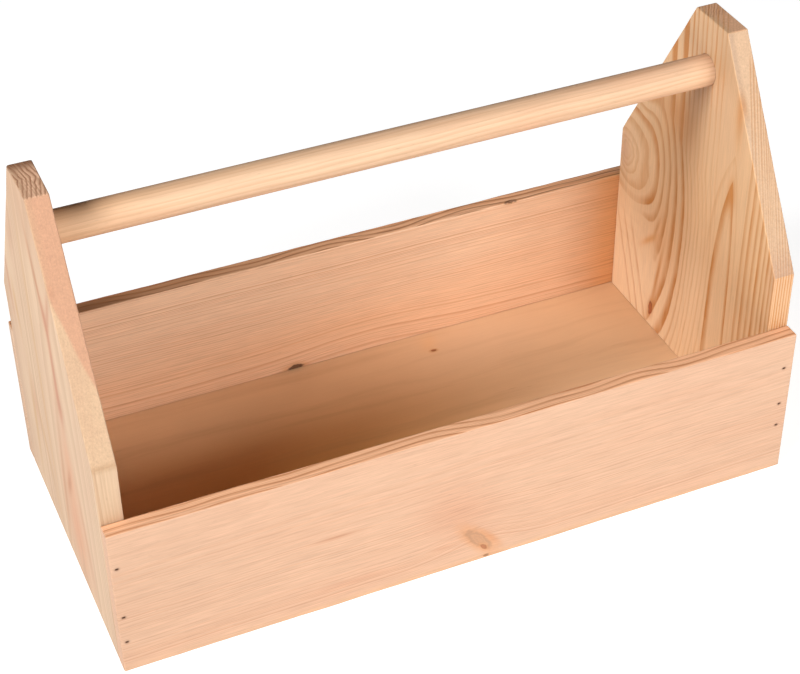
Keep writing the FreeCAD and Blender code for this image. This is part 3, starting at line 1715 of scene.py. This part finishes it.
def left_end_wood() -> Pine:
    """Pale cream pine with soft leaning streaks, and redder wood inside.

    Returns:
        The wood.
    """
    rings = Rings(
        heart_across=-36.0, heart_depth=-190.0, spacing=2.8, taper=0.012,
        wander=3.0, wander_length=170.0, wander_width=46.0, fade_in=0.1,
    )
    pink = (0.45, 0.165, 0.085)
    buff = (0.50, 0.265, 0.095)
    rust = (0.42, 0.155, 0.06)
    return Pine(
        name="pine_left_end", grain=Axis.Z, width=Axis.Y, thickness=Axis.X, face=-278.0,
        figure=rings, early=(0.615, 0.428, 0.276), late=(0.44, 0.255, 0.145), contrast=0.40,
        blush=(0.57, 0.37, 0.242), blush_share=0.5,
        cut_share=0.6, cut_tone=(0.86, 0.54, 0.355), cut_late=(0.28, 0.115, 0.055),
        cut_figure=EndRings(3.1, 0.25, 1.0, 0.75), fibre=1.5,
        slope_quiet=0.8, slope_shade=(0.935, 0.895, 0.855),
        heartwood=Heartwood(0.48, -27.6, 1.4, (0.575, 0.31, 0.195), 0.85),
        tints=(
            Tint(282.0, -18.0, 46.0, 5.0, 20.0, rust, 0.85),
            Tint(267.0, -45.0, 26.0, 4.0, -24.0, pink, 0.6),
            Tint(252.0, -30.0, 14.0, 9.0, 0.0, pink, 0.5),
            Tint(205.0, -35.0, 42.0, 5.0, 2.0, pink, 0.85),
            Tint(178.0, -36.0, 15.0, 9.0, 0.0, pink, 0.6),
            Tint(120.0, -36.0, 34.0, 13.0, 0.0, (0.58, 0.29, 0.165), 0.65),
            Tint(55.0, -34.0, 52.0, 25.0, 0.0, (0.59, 0.29, 0.165), 0.85),
            Tint(78.0, -8.0, 80.0, 4.5, -9.7, rust, 0.5),
            Tint(98.0, -29.0, 18.0, 5.0, -25.0, rust, 0.6),
            Tint(75.0, -61.0, 50.0, 5.0, 10.0, pink, 0.4),
            Tint(120.0, 114.0, 140.0, 14.0, 0.0, (0.54, 0.34, 0.22), 0.55),
            Tint(200.0, 95.0, 34.0, 4.0, 3.0, pink, 0.55),
            Tint(186.0, 80.0, 22.0, 4.5, 4.0, buff, 0.6),
            Tint(80.0, 75.0, 50.0, 4.5, -7.0, buff, 0.6),
            Tint(75.0, 46.0, 44.0, 4.0, 15.0, buff, 0.55),
            Tint(104.0, 61.0, 24.0, 9.0, 0.0, (0.54, 0.30, 0.17), 0.7),
            Tint(180.0, 25.0, 150.0, 4.0, -1.0, buff, 0.5),
            Tint(268.0, 56.0, 24.0, 7.0, -26.0, (0.50, 0.285, 0.175), 0.6),
            Tint(330.0, 0.0, 40.0, 60.0, 0.0, (0.53, 0.325, 0.20), 0.7),
            Tint(184.0, -121.0, 3.0, 4.0, 0.0, (0.42, 0.25, 0.13), 0.5, True),
            Tint(346.0, 22.0, 2.0, 8.0, 0.0, (0.11, 0.04, 0.015), 0.9, True),
        ),
    )


def right_end_wood() -> Pine:
    """Flat-sawn pine: ovals at the rear edge, strong upright lines, a spike near the front;
    painted light low down, painted shade at the top and under the handle.

    Returns:
        The wood.
    """
    resin = Knot(38.0, 52.0, 6.5, 3.0, -6.0, (0.42, 0.12, 0.04), (0.24, 0.05, 0.02), 1.0, 0.5)
    orange = (0.60, 0.25, 0.07)
    return Pine(
        name="pine_right_end", grain=Axis.Z, width=Axis.Y, thickness=Axis.X, face=260.0,
        figure=OvalsAndSpike(), early=(0.79, 0.51, 0.285), late=(0.54, 0.205, 0.042),
        contrast=0.92, blush=(0.78, 0.475, 0.25), blush_share=0.4, knots=(resin,),
        cut_tone=(0.60, 0.29, 0.19), cut_share=0.5, cut_late=(0.36, 0.155, 0.075),
        cut_figure=EndRings(2.6, 0.64, 200.0, 0.6, clear_below=3.0), fibre=1.6,
        slope_quiet=0.45, slope_shade=(0.77, 0.79, 0.89),
        tints=(
            # Painted light: the lower rear part made lighter, where more light falls.
            Tint(50.0, 72.0, 75.0, 75.0, 0.0, (0.96, 0.73, 0.49), 0.9),
            # Painted light: the lower front part made lighter, where more light falls.
            Tint(90.0, -5.0, 48.0, 32.0, 0.0, (0.90, 0.62, 0.38), 0.7),
            Tint(130.0, 35.0, 45.0, 24.0, 0.0, (0.90, 0.56, 0.30), 0.6),
            Tint(186.0, -121.0, 34.0, 12.0, 0.0, (0.62, 0.36, 0.22), 0.55, True),
            Tint(140.0, -124.0, 60.0, 5.0, 0.0, (0.62, 0.36, 0.20), 0.85, True),
            Tint(103.5, 63.0, 16.0, 3.0, -46.0, (0.76, 0.38, 0.14), 0.8),
            Tint(122.0, 52.0, 14.0, 2.4, -19.0, orange, 0.6),
            # Painted shade: the top of the panel made darker, where less light falls.
            Tint(320.0, -15.0, 85.0, 60.0, 0.0, (0.62, 0.39, 0.225), 0.8),
            # Painted shadow: the warm, deep shade that the handle casts on the panel.
            Tint(243.0, 34.0, 27.0, 26.0, 0.0, (0.60, 0.25, 0.07), 0.7),
            Tint(208.0, 64.0, 24.0, 34.0, 0.0, (0.62, 0.36, 0.17), 0.5),
            Tint(76.0, 45.5, 34.0, 2.6, -10.0, orange, 0.85),
            Tint(292.0, -51.0, 26.0, 5.0, 3.0, orange, 0.7),
            Tint(217.0, -51.0, 15.0, 5.0, 0.0, orange, 0.9),
            Tint(166.0, 115.0, 20.0, 9.0, 0.0, (0.62, 0.30, 0.17), 0.6),
        ),
    )


def front_side_wood(brads: Iterable[Brads]) -> Pine:
    """Peach pine with fine lines that bow over a knot near the lower edge, with painted shade at
    its left end and in the brads' dents.

    Args:
        brads: The brads whose dents get painted shade.

    Returns:
        The wood.
    """
    rings = Rings(
        heart_across=122.0, heart_depth=-70.0, spacing=1.7, taper=0.008,
        wander=5.0, wander_length=180.0, wander_width=90.0, fade_in=0.35,
        swells=(Swell(8.0, 26.0, 36.0, 34.0, 8.0),),
        quiet_across=125.0, quiet_reach=42.0, quiet=0.85,
    )
    knot = Knot(
        7.0, 22.0, 14.0, 4.6, -50.0, (0.50, 0.27, 0.15), (0.34, 0.19, 0.11), 0.75, 0.5,
        rim_share=0.55,
    )
    spot = Knot(11.0, 13.0, 3.4, 1.7, -50.0, (0.38, 0.12, 0.05), (0.26, 0.09, 0.04), 0.75, 0.5)
    pin = Knot(13.4, 3.0, 2.1, 1.2, 0.0, (0.26, 0.14, 0.07), (0.22, 0.11, 0.06), 0.7, 0.3)
    pink = (0.60, 0.31, 0.19)
    return Pine(
        name="pine_front_side", grain=Axis.X, width=Axis.Z, thickness=Axis.Y, face=-135.0,
        figure=rings, early=(0.645, 0.40, 0.263), late=(0.47, 0.21, 0.105), contrast=0.34,
        blush=(0.635, 0.37, 0.237), blush_share=0.5, knots=(knot, spot, pin), fibre=2.4,
        cut_share=0.10, cut_tone=(0.56, 0.40, 0.31), cut_late=(0.52, 0.33, 0.22), cut_gain=0.5,
        edge_figure=EdgeLines(), edge_tone=(0.86, 0.475, 0.275), edge_late=(0.50, 0.20, 0.08),
        tints=(
            Tint(-12.0, 56.0, 34.0, 26.0, -50.0, pink, 0.55),
            Tint(18.0, 20.0, 12.0, 3.0, -50.0, (0.58, 0.26, 0.12), 0.6),
            Tint(-95.0, 20.0, 34.0, 3.0, 0.0, pink, 0.45),
            Tint(-110.0, 70.0, 17.0, 1.8, 0.0, (0.52, 0.24, 0.13), 0.7),
            Tint(-24.0, 25.0, 9.0, 1.6, 0.0, pink, 0.55),
            Tint(1.0, 33.0, 7.0, 1.4, 20.0, (0.36, 0.22, 0.14), 0.5),
            Tint(-3.0, 29.0, 8.0, 1.2, -60.0, (0.36, 0.22, 0.14), 0.45),
            Tint(0.0, 0.5, 400.0, 3.5, 0.0, (0.66, 0.38, 0.17), 0.5),
            # Painted shade: the left end made darker, where less light falls.
            Tint(-278.0, 70.0, 130.0, 90.0, 0.0, (0.58, 0.36, 0.237), 0.6),
            # Painted shade in the brads' dents.
            *dent_shading(brads),
        ),
    )


def rear_side_wood() -> Pine:
    """Salmon pine with bundles of fine lines and a small black knot at the bottom's edge, and the
    right end panel's shadow painted at its right end.

    Returns:
        The wood.
    """
    rings = Rings(
        heart_across=-18.0, heart_depth=-52.0, spacing=1.9, taper=0.006,
        wander=5.0, wander_length=200.0, wander_width=60.0, fade_in=0.35,
        swells=(Swell(25.0, 42.0, 70.0, 36.0, -6.0),),
    )
    knot = Knot(-46.0, 20.5, 6.5, 3.4, 0.0, (0.07, 0.03, 0.012), (0.05, 0.02, 0.01), 1.0, 0.5)
    notch = Knot(156.0, 135.0, 6.0, 1.4, 0.0, (0.10, 0.045, 0.02), (0.14, 0.06, 0.03), 0.9, 0.3)
    return Pine(
        name="pine_rear_side", grain=Axis.X, width=Axis.Z, thickness=Axis.Y, face=121.0,
        figure=rings, early=(0.86, 0.555, 0.36), late=(0.56, 0.22, 0.095), contrast=0.38,
        blush=(0.86, 0.51, 0.31), blush_share=0.5, knots=(knot, notch), fibre=2.0,
        cut_share=0.8, cut_tone=(0.46, 0.33, 0.235), cut_late=(0.52, 0.33, 0.22), cut_gain=0.5,
        edge_figure=EdgeLines(start=7.3), edge_tone=(0.90, 0.49, 0.275),
        edge_late=(0.30, 0.115, 0.04),
        tints=(
            # Painted shadow of the right end panel, warm with its bounce light, along the board's
            # right end.
            Tint(256.0, 80.0, 24.0, 300.0, 0.0, (0.82, 0.40, 0.15), 0.75),
            Tint(-60.0, 48.0, 260.0, 28.0, 0.0, (0.85, 0.47, 0.26), 0.6),
            Tint(-180.0, 118.0, 120.0, 34.0, 0.0, (1.0, 0.67, 0.44), 0.7),
            Tint(130.0, 110.0, 90.0, 30.0, 0.0, (0.90, 0.62, 0.42), 0.5),
            Tint(-230.0, 135.5, 190.0, 1.4, 0.0, (0.34, 0.13, 0.045), 0.95, True),
        ),
    )


def handle_wood() -> Pine:
    """Pale yellow softwood with fine lengthwise grain, and painted shade along its top and at its
    left end.

    Returns:
        The wood.
    """
    rings = Rings(
        heart_across=50.0, heart_depth=-30.0, spacing=3.0, taper=0.012,
        wander=6.0, wander_length=140.0, wander_width=24.0,
    )
    return Pine(
        name="pine_handle", grain=Axis.X, width=Axis.Y, thickness=Axis.Z, face=330.0,
        figure=rings, early=(0.73, 0.485, 0.31), late=(0.54, 0.29, 0.15), contrast=0.25,
        blush=(0.74, 0.43, 0.265), blush_share=0.6, fibre=1.6,
        tints=(
            Tint(-150.0, -3.0, 120.0, 3.0, 0.6, (0.56, 0.32, 0.17), 0.45, True),
            Tint(40.0, -5.0, 90.0, 2.0, -0.8, (0.58, 0.34, 0.19), 0.4, True),
            Tint(190.0, -2.0, 70.0, 2.4, 0.5, (0.58, 0.32, 0.18), 0.5, True),
            # Painted shade: the front of the left end made warmer and darker, in the left panel's
            # shadow.
            Tint(-262.0, -9.0, 60.0, 9.0, 0.0, (0.70, 0.41, 0.22), 0.7, True),
            # Painted shadow of the left end panel on the top of the handle's left end.
            Tint(-255.0, 4.0, 60.0, 8.0, 0.0, (0.40, 0.20, 0.085), 0.8, True),
            # Painted shade: a dark line along the handle's top, which faces away from the lights.
            Tint(-60.0, 7.0, 230.0, 4.5, 0.0, (0.40, 0.22, 0.12), 0.6, True),
        ),
    )


def bottom_wood() -> Plywood:
    """Smooth tan veneer with one pin knot, with painted shade at the front left and painted light
    at the back left and front right.

    Returns:
        The plywood.
    """
    knot = Knot(72.5, 95.9, 2.2, 1.3, 0.0, (0.26, 0.07, 0.025), (0.30, 0.09, 0.03), 1.0, 0.8)
    return Plywood(
        name="plywood_bottom", top=19.5, bottom=13.5, face=(0.80, 0.50, 0.285),
        dash=(0.46, 0.22, 0.10), pin_knots=(knot,),
        tints=(
            # Painted shade: the deep, warm shadow of the front board and left panel at the front
            # left.
            Tint(-110.0, -10.0, 190.0, 72.0, 0.0, (0.84, 0.38, 0.09), 0.85),
            # Painted light: the back left made lighter.
            Tint(-150.0, 95.0, 90.0, 45.0, 0.0, (0.88, 0.56, 0.32), 0.7),
            Tint(72.0, 106.0, 12.0, 7.0, 60.0, (0.84, 0.46, 0.20), 0.7),
            # Painted light: the front right made lighter, where light reaches over the front
            # board.
            Tint(215.0, 0.0, 100.0, 70.0, 0.0, (0.94, 0.66, 0.41), 0.7),
            Tint(120.0, 95.0, 80.0, 40.0, 0.0, (0.82, 0.54, 0.34), 0.6),
        ),
    )


def main() -> None:
    logging.basicConfig(level=logging.INFO, format="%(name)s: %(message)s")
    front_brads = (Brads("front_left_brads"), Brads("front_right_brads"))
    rear_brads = (Brads("rear_left_brads"), Brads("rear_right_brads"))
    front_chip = Chip((0.0134, -0.1352, 0.0031), (0.0021, 0.0010, 0.0011), 10.0)
    rear_notch = Chip((0.156, 0.1212, 0.1352), (0.0055, 0.0022, 0.0018), 2.0)
    parts = (
        EndPanel(node="left_end_panel", wood=left_end_wood(), seed=3.0),
        EndPanel(node="right_end_panel", wood=right_end_wood(), seed=11.0),
        SideBoard(
            node="front_side_board", wood=front_side_wood(front_brads),
            brads=front_brads, inward=1.0, seed=5.0, chips=(front_chip,),
        ),
        SideBoard(
            node="rear_side_board", wood=rear_side_wood(),
            brads=rear_brads, inward=-1.0, seed=17.0, chips=(rear_notch,),
        ),
        BottomPanel(wood=bottom_wood()),
        Handle(wood=handle_wood()),
    )
    for part in parts:
        part.build()
    steel = BradSteel().material()
    for group in front_brads + rear_brads:
        group.dress(steel)

    Studio().build()


if __name__ == "__main__":
    main()
